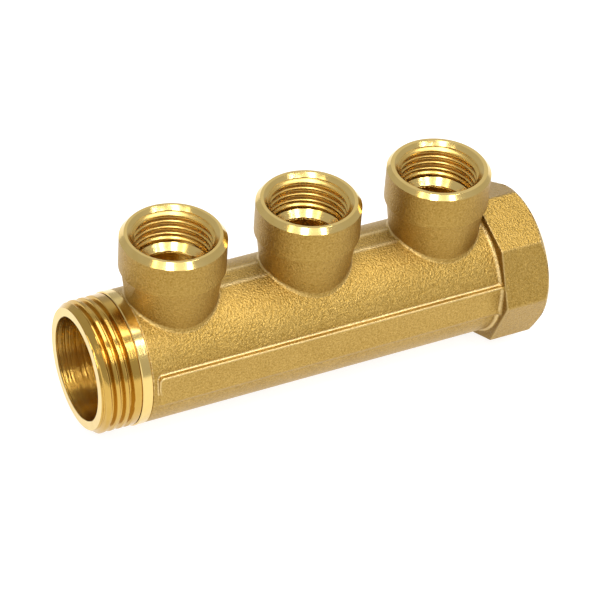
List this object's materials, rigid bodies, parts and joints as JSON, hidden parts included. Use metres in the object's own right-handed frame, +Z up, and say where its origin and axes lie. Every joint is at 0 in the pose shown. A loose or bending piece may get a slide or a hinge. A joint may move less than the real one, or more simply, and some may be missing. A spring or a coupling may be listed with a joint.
{
  "type": "distribution manifold",
  "caption": "Straight forged brass bar manifold for water: male pipe thread at one end, octagonal female end at the other, and upright female-threaded outlets between.",
  "frame": {"origin": "where the middle outlet's axis meets the run's axis", "axes": "+X along the run from the male end to the octagon end, +Z up along the outlets' axes, +Y across the run"},
  "size_m": [0.1215, 0.0398, 0.0541],
  "materials": {
    "blasted_brass": "forged and shot-blasted, satin with a fine grain",
    "turned_brass": "turned, bright with fine turning marks"
  },
  "bodies": {
    "root": {"male_end": "turned_brass", "male_side_tee": "blasted_brass", "middle_tee": "blasted_brass", "octagon_side_tee": "blasted_brass", "outlet_collar_1": "blasted_brass", "outlet_collar_2": "blasted_brass", "outlet_collar_3": "blasted_brass", "octagon_end": "blasted_brass"}
  },
  "joints": []
}
